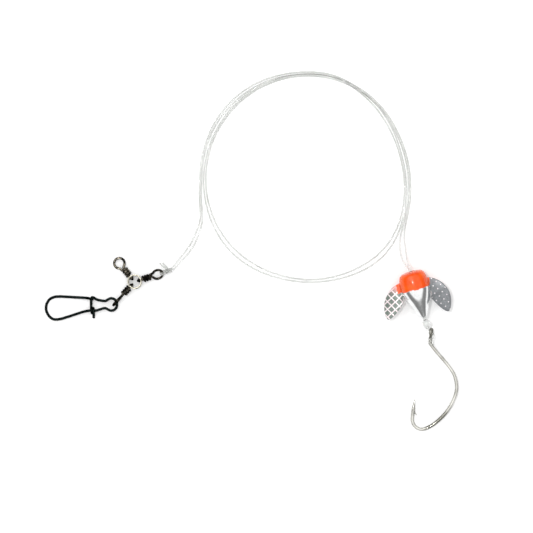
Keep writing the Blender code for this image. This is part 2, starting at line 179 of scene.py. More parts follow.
RIG = placed(Matrix.Identity(4), (*COIL_CENTRE, 0.0))
SWIVEL = placed(RIG, HUB_CENTRE, (*HUB_TILT, 0.0))
SNAP = placed(RIG, SNAP_TIP, SNAP_TURN)
FLOAT = placed(RIG, FLOAT_NOSE, (0.0, FLOAT_SLOPE, FLOAT_HEADING))
HOOK = placed(RIG, HOOK_EYE, (HOOK_TILT, 0.0, 0.0))


def smooth_path(points, spacing):
    """Points a fixed spacing apart on a Catmull-Rom curve through the given ones."""
    knots = np.array(points, float)
    ends = np.vstack([2 * knots[0] - knots[1], knots, 2 * knots[-1] - knots[-2]])
    fine = []
    for i in range(len(knots) - 1):
        p0, p1, p2, p3 = ends[i : i + 4]
        for t in np.arange(0.0, 1.0, 0.05):
            fine.append(
                0.5
                * (
                    2 * p1
                    + (p2 - p0) * t
                    + (2 * p0 - 5 * p1 + 4 * p2 - p3) * t**2
                    + (3 * p1 - p0 - 3 * p2 + p3) * t**3
                )
            )
    fine.append(knots[-1])
    fine = np.array(fine)
    steps = np.linalg.norm(np.diff(fine[:, :3], axis=0), axis=1)
    run = np.concatenate([[0.0], np.cumsum(steps)])
    count = max(2, round(run[-1] / spacing) + 1)
    stations = np.linspace(0.0, run[-1], count)
    return np.column_stack([np.interp(stations, run, column) for column in fine.T])


def mesh_object(name, verts, faces, place, surface):
    """A smooth-shaded mesh, its points in millimetres in the frame given."""
    data = bpy.data.meshes.new(name)
    data.from_pydata([tuple(place @ (Vector(v) * MM)) for v in verts], [], faces)
    data.update()
    data.shade_smooth()
    data.materials.append(surface)
    made = bpy.data.objects.new(name, data)
    bpy.context.scene.collection.objects.link(made)
    return made


def tube(name, path, radius, place, surface, sides, ends=("flat", "flat")):
    """A round wire or line along a path. Its ends are cut with a small bevel, or rounded. An end's
    profile is how far in each of its rings lies and how wide it is, in radii."""
    path = np.array(path, float)[:, :3]
    radii = np.ones(len(path)) * radius
    ahead = np.gradient(path, axis=0)
    ahead /= np.linalg.norm(ahead, axis=1)[:, None]
    profiles = {
        "flat": [(0.0, 0.02), (0.0, 0.80), (0.2, 1.0)],
        "round": [(0.0, 0.02), (0.03, 0.34), (0.2, 0.70), (0.5, 0.92), (1.0, 1.0)],
    }
    head, tail = [], []
    for inward, reach in profiles[ends[0]]:
        head.append((path[0] + ahead[0] * inward * radii[0], ahead[0], reach * radii[0]))
    for inward, reach in profiles[ends[1]]:
        tail.append((path[-1] - ahead[-1] * inward * radii[-1], ahead[-1], reach * radii[-1]))
    middle = list(zip(path, ahead, radii))
    skip_head = sum(np.linalg.norm(p - path[0]) <= head[-1][2] for p, _, _ in middle[:6])
    skip_tail = sum(np.linalg.norm(p - path[-1]) <= tail[-1][2] for p, _, _ in middle[-6:])
    stations = head + middle[skip_head : len(middle) - skip_tail] + tail[::-1]
    side = np.cross(ahead[0], [0.0, 0.0, 1.0])
    if np.linalg.norm(side) < 0.2:
        side = np.cross(ahead[0], [1.0, 0.0, 0.0])
    verts, faces = [], []
    for point, along, reach in stations:
        side = side - along * np.dot(side, along)
        side /= np.linalg.norm(side)
        up = np.cross(along, side)
        for k in range(sides):
            angle = 2 * math.pi * k / sides
            verts.append(point + reach * (math.cos(angle) * side + math.sin(angle) * up))
    for i in range(len(stations) - 1):
        for k in range(sides):
            a, b = i * sides + k, i * sides + (k + 1) % sides
            faces.append((a, b, b + sides, a + sides))
    faces.append(tuple(range(sides))[::-1])
    last = (len(stations) - 1) * sides
    faces.append(tuple(range(last, last + sides)))
    return mesh_object(name, verts, faces, place, surface)


def turned(name, profile, steps, place, surface):
    """A body of revolution about X. The profile is a closed list of (x, radius)."""
    verts, faces = [], []
    for x, radius in profile:
        for k in range(steps):
            angle = 2 * math.pi * k / steps
            verts.append((x, radius * math.cos(angle), radius * math.sin(angle)))
    count = len(profile)
    for i in range(count):
        for k in range(steps):
            a, b = i * steps + k, i * steps + (k + 1) % steps
            c, d = ((i + 1) % count) * steps + (k + 1) % steps, ((i + 1) % count) * steps + k
            faces.append((a, d, c, b))
    return mesh_object(name, verts, faces, place, surface)


SIDE_TO_ROUND = 2.2


def rounded(profile, corner, points):
    """The closed profile with each corner cut to a small round, so many points long. A round never
    takes up half a side."""
    made = []
    count = len(profile)
    for i in range(count):
        here = Vector(profile[i])
        before, after = Vector(profile[i - 1]) - here, Vector(profile[(i + 1) % count]) - here
        reach = min(corner, before.length / SIDE_TO_ROUND, after.length / SIDE_TO_ROUND)
        first, last = here + before.normalized() * reach, here + after.normalized() * reach
        for k in range(points):
            t = k / (points - 1)
            made.append(tuple(first.lerp(here, t).lerp(here.lerp(last, t), t)))
    return made


def cut(target, tool, operation="DIFFERENCE"):
    """Applies a Boolean and removes the tool."""
    modifier = target.modifiers.new("cut", "BOOLEAN")
    modifier.object = tool
    modifier.operation = operation
    modifier.solver = "EXACT"
    bpy.context.view_layer.update()
    evaluated = target.evaluated_get(bpy.context.evaluated_depsgraph_get())
    data = bpy.data.meshes.new_from_object(evaluated)
    target.modifiers.clear()
    target.data = data
    bpy.data.objects.remove(tool, do_unlink=True)


def finish_piece(piece, body, slot, *nodes):
    """Says which body a piece rides on and the CAD nodes that it stands for. The slot is not used.
    """
    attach(piece, body)
    if nodes:
        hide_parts(*nodes)
    return piece


# ---------------------------------------------------------------- materials


class Paint:
    """A Principled material with a few short ways to add varying detail."""

    def __init__(self, name, colour, roughness, place=None, **sockets):
        self.material = bpy.data.materials.new(name)
        self.material.use_nodes = True
        self.tree = self.material.node_tree
        self.shader = self.tree.nodes["Principled BSDF"]
        self.shader.inputs["Base Color"].default_value = (*colour, 1.0)
        self.shader.inputs["Roughness"].default_value = roughness
        for socket, value in sockets.items():
            self.shader.inputs[socket.replace("_", " ")].default_value = value
        self.where = self.node("ShaderNodeTexCoord").outputs["Object"]
        if place is not None:
            inverse = place.inverted()
            local = self.node("ShaderNodeMapping")
            local.inputs["Location"].default_value = inverse.to_translation()
            local.inputs["Rotation"].default_value = inverse.to_euler()
            self.link(self.where, local.inputs["Vector"])
            self.where = local.outputs["Vector"]

    def node(self, kind, **settings):
        made = self.tree.nodes.new(kind)
        for key, value in settings.items():
            setattr(made, key, value)
        return made

    def link(self, source, target):
        self.tree.links.new(source, target)

    def noise(self, scale, detail=3.0):
        """Noise from 0 to 1, with the scale in cells a metre."""
        made = self.node("ShaderNodeTexNoise")
        made.inputs["Scale"].default_value = scale
        made.inputs["Detail"].default_value = detail
        self.link(self.where, made.inputs["Vector"])
        return made.outputs["Fac"]

    def ramp(self, fac, stops):
        """A colour for each value of fac. A stop is its place and a colour or a grey level."""
        made = self.node("ShaderNodeValToRGB")
        elements = made.color_ramp.elements
        while len(elements) < len(stops):
            elements.new(0.5)
        for element, (place, colour) in zip(elements, stops):
            if not isinstance(colour, tuple):
                colour = (colour,) * 3
            element.position = place
            element.color = (*colour, 1.0)
        self.link(fac, made.inputs["Fac"])
        return made.outputs["Color"]

    def maths(self, operation, first, second=0.0, third=None, clamp=False):
        """A Math node, with each value a number or another node's output."""
        made = self.node("ShaderNodeMath", operation=operation, use_clamp=clamp)
        for socket, value in zip(made.inputs, (first, second, third)):
            if value is None:
                continue
            if isinstance(value, (int, float)):
                socket.default_value = value
            else:
                self.link(value, socket)
        return made.outputs["Value"]

    def mix(self, fac, first, second):
        """From the first colour to the second as fac goes from 0 to 1."""
        made = self.node("ShaderNodeMix", data_type="RGBA")
        sockets = (made.inputs[0], made.inputs[6], made.inputs[7])
        for socket, value in zip(sockets, (fac, first, second)):
            if isinstance(value, tuple):
                socket.default_value = (*value, 1.0)
            else:
                self.link(value, socket)
        return made.outputs[2]

    def colour(self, source):
        self.link(source, self.shader.inputs["Base Color"])

    def rough(self, fac, low, high):
        self.link(self.ramp(fac, [(0.3, low), (0.7, high)]), self.shader.inputs["Roughness"])

    def bump(self, height, distance, strength):
        made = self.node("ShaderNodeBump")
        made.inputs["Distance"].default_value = distance
        made.inputs["Strength"].default_value = strength
        self.link(height, made.inputs["Height"])
        self.link(made.outputs["Normal"], self.shader.inputs["Normal"])


GRAIN = 2070.0
PITS = 5400.0
PIT_DEPTH = 0.00001


def metal(name, dark, light, roughness, edge, patches=900.0, span=(0.3, 0.72)):
    """Plated metal, faintly pitted and mottled between two colours, with so many patches a metre.
    The span says where the noise is all dark and all light, and the edge colour is what the metal
    reflects at a low angle. On the swivel's two gunmetals the light patches are painted glints."""
    made = Paint(name, dark, roughness[0], Metallic=1.0, Specular_Tint=(*edge, 1.0))
    mottled = made.noise(patches, 4.0)
    made.colour(made.ramp(mottled, [(span[0], dark), (span[1], light)]))
    made.rough(made.noise(GRAIN, 2.0), *roughness)
    made.bump(made.noise(PITS, 3.0), PIT_DEPTH, 0.5)
    return made.material


NYLON = [(0.3, (0.64, 0.655, 0.63)), (0.7, (0.80, 0.81, 0.79))]
BEAD_GREYS = [(0.3, (0.70, 0.72, 0.71)), (0.7, (0.84, 0.85, 0.83))]


def line_material(name, solidity):
    """Clear nylon. The solidity is how much of it shows against what lies behind."""
    made = Paint(name, NYLON[0][1], 0.06, Transmission_Weight=0.75, IOR=1.5, Alpha=solidity)
    made.colour(made.ramp(made.noise(130.0, 2.0), NYLON))
    return made.material


def bead_material():
    made = Paint("clear_bead", BEAD_GREYS[0][1], 0.2, Transmission_Weight=0.3, IOR=1.49)
    made.colour(made.ramp(made.noise(420.0, 3.0), BEAD_GREYS))
    made.rough(made.noise(900.0), 0.08, 0.2)
    return made.material


PAINT_EDGE = 7.9
PAINT_WOBBLE = 1.3
PAINT_REACH = {"left": 8.2, "right": 7.0}


def dipped(made, reach, softness=0.25):
    """1 where the float's dipped paint lies, in the float's frame: near the nose, and on a wing
    only as far as the dip reached."""
    split = made.node("ShaderNodeSeparateXYZ")
    made.link(made.where, split.inputs["Vector"])
    wobble = made.noise(260.0, 2.0)
    wobble = made.maths("MULTIPLY_ADD", wobble, 2 * PAINT_WOBBLE * MM, -PAINT_WOBBLE * MM)
    station = made.maths("ADD", split.outputs["X"], wobble)
    edge = made.maths("SUBTRACT", PAINT_EDGE * MM, station)
    along = made.maths("MULTIPLY", edge, 1 / (softness * MM), clamp=True)
    if reach is None:
        return along
    out = made.maths("ABSOLUTE", split.outputs["Y"])
    out = made.maths("ADD", out, wobble)
    edge = made.maths("SUBTRACT", reach * MM, out)
    side = made.maths("MULTIPLY", edge, 1 / (softness * MM), clamp=True)
    return made.maths("MULTIPLY", along, side)


ORANGE = [(0.3, (0.80, 0.064, 0.002)), (0.7, (0.87, 0.110, 0.004))]
SILVER = [(0.3, (0.74, 0.75, 0.75)), (0.7, (0.86, 0.87, 0.87))]


def float_material():
    """Glossy orange paint over a chromed shell."""
    made = Paint(
        "float_shell", ORANGE[0][1], 0.16, FLOAT,
        Coat_Weight=0.3, Coat_Roughness=0.04, Specular_IOR_Level=0.25,
    )
    painted = dipped(made, None)
    orange = made.ramp(made.noise(300.0, 3.0), ORANGE)
    silver = made.ramp(made.noise(500.0, 3.0), SILVER)
    made.colour(made.mix(painted, silver, orange))
    made.link(made.maths("SUBTRACT", 1.0, painted), made.shader.inputs["Metallic"])
    made.link(made.maths("MULTIPLY_ADD", painted, 0.1, 0.13), made.shader.inputs["Roughness"])
    skin = made.maths("MULTIPLY_ADD", painted, 0.8, made.maths("MULTIPLY", made.noise(900.0), 0.4))
    made.bump(skin, 0.00006, 0.6)
    return made.material


FILM_METALLIC = 0.25
FILM_DARKER, FILM_BRIGHTER = 0.78, 1.25
PATTERN_PITCH = 2.35
PATTERN_SOFTNESS = 0.06
SMEAR = {"colour": (0.93, 0.36, 0.34), "reach": 3.6, "softness": 3.2, "strength": 0.85}


def film_material(wing, angle, bright, dull, line_width, dot_radius):
    """Metallised film printed with a diamond lattice of lines and dots, painted near its root by
    the float's dip. The lattice's lines and dots are coloured bright, a painted sheen over the
    print. The left one has a red smear beyond the paint. The widths of the lines and dots are
    parts of the pattern's pitch."""
    made = Paint(f"film_{wing}", dull, 0.3, FLOAT)
    painted = dipped(made, PAINT_REACH[wing])
    turn = made.node("ShaderNodeMapping")
    turn.inputs["Rotation"].default_value = (0.0, 0.0, math.radians(angle))
    turn.inputs["Scale"].default_value = (1 / (PATTERN_PITCH * MM),) * 3
    made.link(made.where, turn.inputs["Vector"])
    split = made.node("ShaderNodeSeparateXYZ")
    made.link(turn.outputs["Vector"], split.inputs["Vector"])
    cells = [made.maths("PINGPONG", split.outputs[axis], 0.5) for axis in "XY"]
    nearest = made.maths("MINIMUM", *cells)
    squares = [made.maths("POWER", cell, 2.0) for cell in cells]
    away = made.maths("SQRT", made.maths("ADD", *squares))
    lines, dots = [
        made.maths(
            "MULTIPLY_ADD", distance, -1 / PATTERN_SOFTNESS, reach / PATTERN_SOFTNESS, clamp=True,
        )
        for distance, reach in ((nearest, line_width), (away, dot_radius))
    ]
    pattern = made.maths("MAXIMUM", lines, dots)
    glitter = made.noise(1600.0, 2.0)
    darker = tuple(level * FILM_DARKER for level in dull)
    brighter = tuple(level * FILM_BRIGHTER for level in dull)
    shade = made.ramp(made.noise(420.0, 3.0), [(0.25, darker), (0.75, brighter)])
    # The lattice's lines and dots take the bright colours, a painted sheen over the print.
    sheen = made.ramp(glitter, bright)
    film = made.mix(pattern, shade, sheen)
    orange = made.ramp(made.noise(300.0, 3.0), ORANGE)
    if wing == "left":
        smeared = dipped(made, PAINT_REACH[wing] + SMEAR["reach"], SMEAR["softness"])
        film = made.mix(made.maths("MULTIPLY", smeared, SMEAR["strength"]), film, SMEAR["colour"])
    made.colour(made.mix(painted, film, orange))
    metallic = made.maths("MULTIPLY", made.maths("SUBTRACT", 1.0, painted), FILM_METALLIC)
    made.link(metallic, made.shader.inputs["Metallic"])
    made.rough(glitter, 0.2, 0.4)
    made.bump(pattern, 0.00005, 0.7)
    return made.material


# ---------------------------------------------------------------- camera

# The camera looks straight down. FRAME_WIDTH is how much of the floor it sees, in metres.
FRAME_WIDTH = 0.23452
CAMERA_HEIGHT = 2.2
VIEW_CENTRE = (0.00663, 0.03404)
SENSOR_WIDTH = 36.0

camera_data = bpy.data.cameras.new("camera")
camera_data.sensor_width = SENSOR_WIDTH
camera_data.lens = SENSOR_WIDTH * CAMERA_HEIGHT / FRAME_WIDTH
camera_data.clip_end = 20.0
camera = bpy.data.objects.new("camera", camera_data)
camera.location = (*VIEW_CENTRE, CAMERA_HEIGHT)
bpy.context.scene.collection.objects.link(camera)
bpy.context.scene.camera = camera
bpy.context.scene.view_settings.view_transform = "Standard"

# ---------------------------------------------------------------- the doubled leader


def lobed(base, lobes, angles):
    """A value round the coil: the base, and a smooth rise or dip at each lobe."""
    total = base + 0.0 * angles
    for middle, height, width in lobes:
        total += height * np.exp(-(((angles - middle) / width) ** 2))
    return total


def pair_paths():
    """The centrelines of both strands, from the knot to the hook's eye, and where the coil starts
    and ends in them."""
    lead_in = smooth_path(SWIVEL_SIDE_ROUTE, 1.0)
    degrees = np.linspace(COIL_FROM, COIL_TO, round((COIL_FROM - COIL_TO) / COIL_STEP) + 1)
    angles = np.radians(degrees)
    radius = lobed(COIL_RADIUS, COIL_LOBES, degrees)
    half_gap = lobed(HALF_GAP, GAP_LOBES, degrees)
    level = np.full_like(radius, FLOOR_LEVEL)
    coil = np.column_stack([radius * np.cos(angles), radius * np.sin(angles), level, half_gap])
    heading, slope = math.radians(FLOAT_HEADING), math.radians(FLOAT_SLOPE)
    ahead = np.array(
        (math.cos(slope) * math.cos(heading), math.cos(slope) * math.sin(heading), -math.sin(slope))
    )
    bored = [
        (*(np.array(FLOAT_NOSE) + station * ahead), TIGHT_HALF_GAP)
        for station in np.linspace(0.0, LINE_END_STATION, 6)
    ]
    lead_out = smooth_path(LURE_SIDE_ROUTE + tuple(bored), 1.0)
    middle = np.vstack([lead_in, coil[1:-1], lead_out])
    coil_first = len(lead_in)
    coil_last = coil_first + len(coil) - 2
    for join in (coil_first, coil_last):
        start, stop = join - JOIN_REACH, join + JOIN_REACH
        for _ in range(JOIN_ROUNDS):
            around = (middle[start - 1 : stop - 1] + middle[start + 1 : stop + 1]) / 2
            middle[start:stop] = (middle[start:stop] + around) / 2
    headings = np.gradient(middle[:, :3], axis=0)
    beside = np.column_stack([-headings[:, 1], headings[:, 0]])
    beside /= np.linalg.norm(beside, axis=1)[:, None]
    paths = []
    for side in (1, -1):
        path = middle[:, :3].copy()
        path[:, :2] += side * beside * middle[:, 3:]
        paths.append(path)
    return paths, coil_first, coil_last


def settle(paths, first, last):
    """Lifts the second pass of the coil over the first where they lie closer than a strand, and
    eases the lift over a few points. The very end of the coil rises a little more."""
    run = np.arange(len(paths[0]))
    polar = []
    for path in paths:
        angle = np.unwrap(np.arctan2(path[first:last, 1], path[first:last, 0]))
        polar.append((angle, np.hypot(path[first:last, 0], path[first:last, 1])))
    for path, (angle, radius) in zip(paths, polar):
        lift = np.zeros(len(path))
        for other_angle, other_radius in polar:
            below = np.interp(-(angle + 2 * math.pi), -other_angle, other_radius, left=0.0)
            gap = np.abs(radius - below)
            over = np.sqrt(np.clip(CLOSEST**2 - gap**2, 0.0, None))
            over *= angle + 2 * math.pi < other_angle[0]
            lift[first:last] = np.maximum(lift[first:last], over)
        wide = np.array([lift[max(0, i - LIFT_REACH) : i + LIFT_REACH + 1].max() for i in run])
        kernel = np.hanning(LIFT_SMOOTHING)
        smooth = np.convolve(wide, kernel / kernel.sum(), mode="same")
        ease = np.clip((run - (last - COIL_END_RUN)) / COIL_END_RUN, 0.0, 1.0) * (run < last)
        path[:, 2] += smooth * (run < last + LIFT_OVERRUN)
        path[:, 2] += COIL_END_LIFT * ease * ease * (3 - 2 * ease)


line = line_material("clear_line", 0.62)
fine_line = line_material("clear_line_tight", 0.3)
knot_line = line_material("clear_line_knot", 0.85)
strand_paths, coil_first, coil_last = pair_paths()
settle(strand_paths, coil_first, coil_last)
strand_objects = []
for letter, path in zip("ab", strand_paths):
    strand = tube(f"leader_strand_{letter}", path, STRAND_RADIUS, RIG, line, LINE_SIDES)
    nodes = [f"leader_swivel_side_{letter}", f"leader_lure_side_{letter}", "leader_coil"]
    strand_objects.append(finish_piece(strand, "leader", "clear_line", *nodes))

# ---------------------------------------------------------------- the knot at the swivel

LINE_AXIS = placed(SWIVEL, (0, 0, 0), (0, 0, ARMS["line"]["heading"]))
KNOT_LOOP_RADIUS = 0.93
KNOT_CLEARANCE = 0.05
KNOT_TURNS = 4.25
KNOT_PITCH = 0.70
KNOT_WRAP_RADIUS = 0.70
TAG_HEADING = 118.0
TAG_SPREAD = 3.0
TAGS = (("a", -1, 3.4), ("b", 1, 2.9))
eye_end = ARMS["line"]["reach"] + EYE_RADIUS
knot_start = eye_end + KNOT_LOOP_RADIUS + STRAND_RADIUS + KNOT_CLEARANCE
roll = math.radians(ARMS["line"]["eye_roll"])


def rolled(x, across, up):
    """A point of the line arm's frame, from how far it lies along the arm, across it in the eye's
    plane, and up from that plane."""
    return (
        x,
        across * math.cos(roll) - up * math.sin(roll),
        across * math.sin(roll) + up * math.cos(roll),
    )


for letter, side in (("a", -TIGHT_HALF_GAP), ("b", TIGHT_HALF_GAP)):
    inside = [(knot_start + 1.0, side * 0.7, 0.3), (knot_start + 0.2, side * 0.9, 0.42)]
    round_eye = [
        (eye_end + KNOT_LOOP_RADIUS * math.cos(a), side, KNOT_LOOP_RADIUS * math.sin(a))
        for a in np.radians(np.linspace(50, 310, 14))
    ]
    back = [(x, y, -z) for x, y, z in inside[::-1]]
    turn = [rolled(*point) for point in inside + round_eye + back]
    path = smooth_path(turn, 0.3)
    piece = tube(f"knot_turn_{letter}", path, STRAND_RADIUS, LINE_AXIS, knot_line, LINE_SIDES)
    finish_piece(piece, "leader", "clear_line", "knot_loop")

wraps = []
for angle in np.linspace(0.0, 2 * math.pi * KNOT_TURNS, 70):
    along = knot_start + 0.1 + KNOT_PITCH * angle / (2 * math.pi)
    wraps.append((along, KNOT_WRAP_RADIUS * math.cos(angle), KNOT_WRAP_RADIUS * math.sin(angle)))
piece = tube("knot_wraps", smooth_path(wraps, 0.25), STRAND_RADIUS, LINE_AXIS, knot_line, LINE_SIDES)
finish_piece(piece, "leader", "clear_line", "swivel_knot")
for letter, side, length in TAGS:
    base = Vector((knot_start + 0.9 + 0.4 * side, 1.5, 0.1))
    lie = math.radians(TAG_HEADING - TAG_SPREAD * side)
    out = Vector((math.cos(lie), math.sin(lie), 0.0))
    tag = [
        (base.x + 0.25, 0.2, 0.1), (base.x + 0.15, 0.8, 0.1), tuple(base),
        tuple(base + out * length * 0.5), tuple(base + out * length),
    ]
    path = smooth_path(tag, 0.3)
    name = f"tag_end_{letter}_cut"
    piece = tube(name, path, STRAND_RADIUS, LINE_AXIS, knot_line, LINE_SIDES)
    finish_piece(piece, "leader", "clear_line", f"tag_end_{letter}")

for letter, strand, path in zip("ab", strand_objects, strand_paths):
    line_path = [tuple(RIG @ Vector(point * MM)) for point in path]
    length = sum((Vector(q) - Vector(p)).length for p, q in zip(line_path, line_path[1:]))

# ---------------------------------------------------------------- the three-way swivel

# The gunmetal's light patches are painted glints on the dark wire, not a colour of the metal.
gunmetal = metal(
    "gunmetal", (0.005, 0.0045, 0.0035), (0.16, 0.145, 0.115), (0.1, 0.2), (0.06, 0.055, 0.045),
    span=(0.5, 0.68),
)
# A lighter copy of the gunmetal for the free arm: its lighter colours are a painted sheen, and its
# light patches painted glints.
sheen_gunmetal = metal(
    "gunmetal_painted_sheen", (0.008, 0.0075, 0.006), (0.24, 0.215, 0.17), (0.1, 0.2), (0.08, 0.075, 0.06),
    span=(0.45, 0.66),
)
black_metal = metal(
    "black_nickel", (0.002, 0.003, 0.003), (0.008, 0.012, 0.011), (0.2, 0.32), (0.16, 0.18, 0.17),
)
hub_metal = metal(
    "hub_metal", (0.20, 0.19, 0.15), (0.38, 0.36, 0.30), (0.18, 0.3), (0.5, 0.48, 0.4),
)
HEAD_PROFILE = [
    (1.02, 0.12), (1.10, 0.32), (1.6, 0.66), (2.15, 1.02), (2.28, 1.06), (2.36, 0.98), (2.38, 0.40),
    (1.9, 0.12),
]
for side, arm in ARMS.items():
    axis = placed(SWIVEL, (0, 0, 0), (0, 0, arm["heading"]))
    rolled_axis = axis @ Matrix.Rotation(math.radians(arm["eye_roll"]), 4, "X")
    reach = arm["reach"]
    bow = [
        (reach + EYE_RADIUS * math.cos(a), EYE_RADIUS * math.sin(a), 0.0)
        for a in np.radians(np.linspace(EYE_FROM, EYE_FROM + EYE_SWEEP, 22))
    ]
    coils = []
    for angle in np.linspace(0.0, 2 * math.pi * WRAP_TURNS, 65):
        along = WRAPS_END - 0.38 - WRAP_PITCH * angle / (2 * math.pi)
        coils.append((along, WRAP_RADIUS * math.cos(angle), WRAP_RADIUS * math.sin(angle)))
    shank = [
        (1.9, 0.0, 0.0), (4.5, 0.0, 0.0), (WRAPS_END - 0.3, 0.0, 0.0),
        (WRAPS_END + 0.35, -0.25, 0.0),
    ]
    path = smooth_path(shank + bow + coils, 0.3)
    # The free arm takes the lighter copy of the gunmetal, a painted sheen.
    surface = sheen_gunmetal if side == "free" else gunmetal
    piece = tube(f"{side}_arm_wire", path, ARM_WIRE_RADIUS, rolled_axis, surface, 12)
    finish_piece(piece, f"{side}_arm", "black_nickel", f"swivel_{side}_arm")
    head = turned(f"{side}_arm_head", HEAD_PROFILE, 20, axis, gunmetal)
    finish_piece(head, f"{side}_arm", "black_nickel")

inner = HUB_OUTER_RADIUS - HUB_WALL
section = rounded(
    [
        (-HUB_HALF_HEIGHT, HUB_OUTER_RADIUS), (HUB_HALF_HEIGHT, HUB_OUTER_RADIUS),
        (HUB_HALF_HEIGHT, inner), (-HUB_HALF_HEIGHT, inner),
    ],
    HUB_CORNER, 4,
)
hub = turned("hub_ring", section, 96, SWIVEL @ Matrix.Rotation(-math.pi / 2, 4, "Y"), hub_metal)
for arm in ARMS.values():
    axis = placed(SWIVEL, (0, 0, 0), (0, 0, arm["heading"]))
    drill_profile = [(1.5, 0.01), (1.5, HUB_HOLE_RADIUS), (4.5, HUB_HOLE_RADIUS), (4.5, 0.01)]
    cut(hub, turned("drill", drill_profile, 24, axis, hub_metal))
finish_piece(hub, "hub", "hub_metal", "swivel_hub")

# ---------------------------------------------------------------- the lock snap

# One wire: its free end, the wrap round the lower leg, the crossbar, the upper leg, the bulb, the
# lower leg through the wrap, the far leg round the far bend, and the latch.
tail = [(-10.3, -5.95, 1.0), (-10.32, -4.2, SNAP_WRAP_RADIUS)]
wrap = []
for angle in np.linspace(0.0, 2 * math.pi * SNAP_WRAP_TURNS, 24):
    advance = SNAP_WRAP_RADIUS * (angle / (2 * math.pi * SNAP_WRAP_TURNS) - 0.5)
    across = SNAP_WRAP_PLACE[1] + SNAP_WRAP_RADIUS * math.cos(angle)
    wrap.append((SNAP_WRAP_PLACE[0] + advance, across, SNAP_WRAP_RADIUS * math.sin(angle)))
crossbar = [(-11.45, 0.6, 0.0), (-11.35, 2.6, 0.0)]
upper_leg = [(-11.0, 3.25, 0.0), (-10.3, 3.1, 0.0), (-8.6, 2.15, 0.0), (-5.4, 1.6, 0.0)]
bulb = [(-4.0, 2.2, 0.0), (-2.7, 2.7, 0.0), (-1.2, 2.3, 0.0), (-0.2, 1.0, 0.0)]
bulb_below = [(x, -y, z) for x, y, z in reversed(bulb)]
lower_leg = [(-5.4, -1.6, 0.0), (-7.6, -2.1, 0.0), (-9.4, -2.58, 0.0), (-12.6, -2.6, 0.0)]
far_leg = [
    (-15.5, -3.2, 0.0), (-21.0, -4.9, 0.0), (-25.4, -6.1, 0.0), (-28.2, -6.1, 0.0),
    (-30.2, -4.6, 0.0), (-31.2, -2.6, 0.0), (-31.4, -1.2, 0.0), (-31.1, 0.6, 0.0),
]
latch = [
    (-29.7, 2.7, 0.0), (-27.4, 3.7, 0.0), (-24.5, 3.8, 0.0), (-18.0, 3.35, 0.0),
    (-13.9, 3.05, 0.0), (-12.7, 2.9, 0.40), (-12.0, 2.75, 1.10), (-11.2, 2.6, 1.30),
    (-10.3, 2.4, 1.05),
]
whole = smooth_path(
    tail + wrap[::-1] + crossbar + upper_leg + bulb + bulb_below + lower_leg + far_leg + latch, 0.3
)
turning = int(np.argmax(whole[:, 0] < LATCH_FROM))
fixed_wire = tube(
    "snap_wire_bent", whole[: turning + 1], SNAP_WIRE_RADIUS, SNAP, black_metal, WIRE_SIDES,
)
finish_piece(fixed_wire, "snap", "black_nickel", "snap_wire")
latch_wire = tube(
    "snap_latch_bent", whole[turning:], SNAP_WIRE_RADIUS, SNAP, black_metal, WIRE_SIDES,
)
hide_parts("snap_latch")
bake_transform(latch_wire)

# ---------------------------------------------------------------- the float and its wings

FLOAT_OUTLINE = [
    (0.0, 2.35), (0.35, 4.15), (1.2, 5.4), (2.8, 6.05), (4.8, 6.4), (7.0, 6.5), (9.2, 6.4),
    (12.0, 5.6), (15.3, 4.1), (18.3, 2.6), (20.4, 1.6), (FLOAT_LENGTH, 1.3),
]
outline = [tuple(point) for point in smooth_path(FLOAT_OUTLINE, 0.5)]
bore = [
    (FLOAT_LENGTH, 1.02), (FLOAT_LENGTH - 0.15, LINE_BORE_RADIUS), (0.15, LINE_BORE_RADIUS),
    (0.0, 1.05),
]
shell = turned("float_shell", outline + bore, 96, FLOAT, float_material())
for wing in WINGS.values():
    start, depth = wing["root"]
    near, far = sorted((wing["side"] * (depth - SLOT_DEEPER), wing["side"] * PAST_THE_SHELL))
    corners = [
        (x, y, z)
        for x in (start - SLOT_BEFORE, start + SLOT_AFTER)
        for y in (near, far)
        for z in (-SLOT_HALF_HEIGHT, SLOT_HALF_HEIGHT)
    ]
    quads = [(0, 1, 3, 2), (4, 6, 7, 5), (0, 4, 5, 1), (2, 3, 7, 6), (0, 2, 6, 4), (1, 5, 7, 3)]
    slot_tool = mesh_object("slot", corners, quads, FLOAT, shell.data.materials[0])
    cut(shell, slot_tool)
finish_piece(shell, "float", "float_shell", "float_body")


def wing_point(wing, along, across):
    """A point of the wing's mid surface in the float's frame. Near its root the wing lies flat and
    square to the slot. Beyond that it eases into its own heading and pitch."""
    side = wing["side"]
    root = Vector((wing["root"][0], side * wing["root"][1], 0.0))
    tip = Vector((wing["tip"][0], side * wing["tip"][1], 0.0))
    lie = math.atan2(tip.y - root.y, tip.x - root.x)
    outward = Vector((-math.sin(lie), math.cos(lie), 0.0)) * side
    middle = root.lerp(tip, along) + outward * wing["bulge"] * math.sin(math.pi * along)
    ease = min(max((along - WING_NECK) / WING_EASE, 0.0), 1.0)
    ease = ease * ease * (3 - 2 * ease)
    turn = ease * (lie - side * math.pi / 2)
    pitch = math.radians(wing["pitch"]) * ease
    cross = Vector((math.cos(turn) * math.cos(pitch), math.sin(turn) * math.cos(pitch), 0.0))
    cross.z = math.sin(pitch)
    swell = math.sin(math.pi * (WING_PHASE + WING_SPAN * along)) ** WING_FULLNESS
    half = WING_HALF_WIDTH * swell
    camber = WING_CAMBER * ease * (1 - across**2)
    return middle + cross * half * across + Vector((0.0, 0.0, camber))
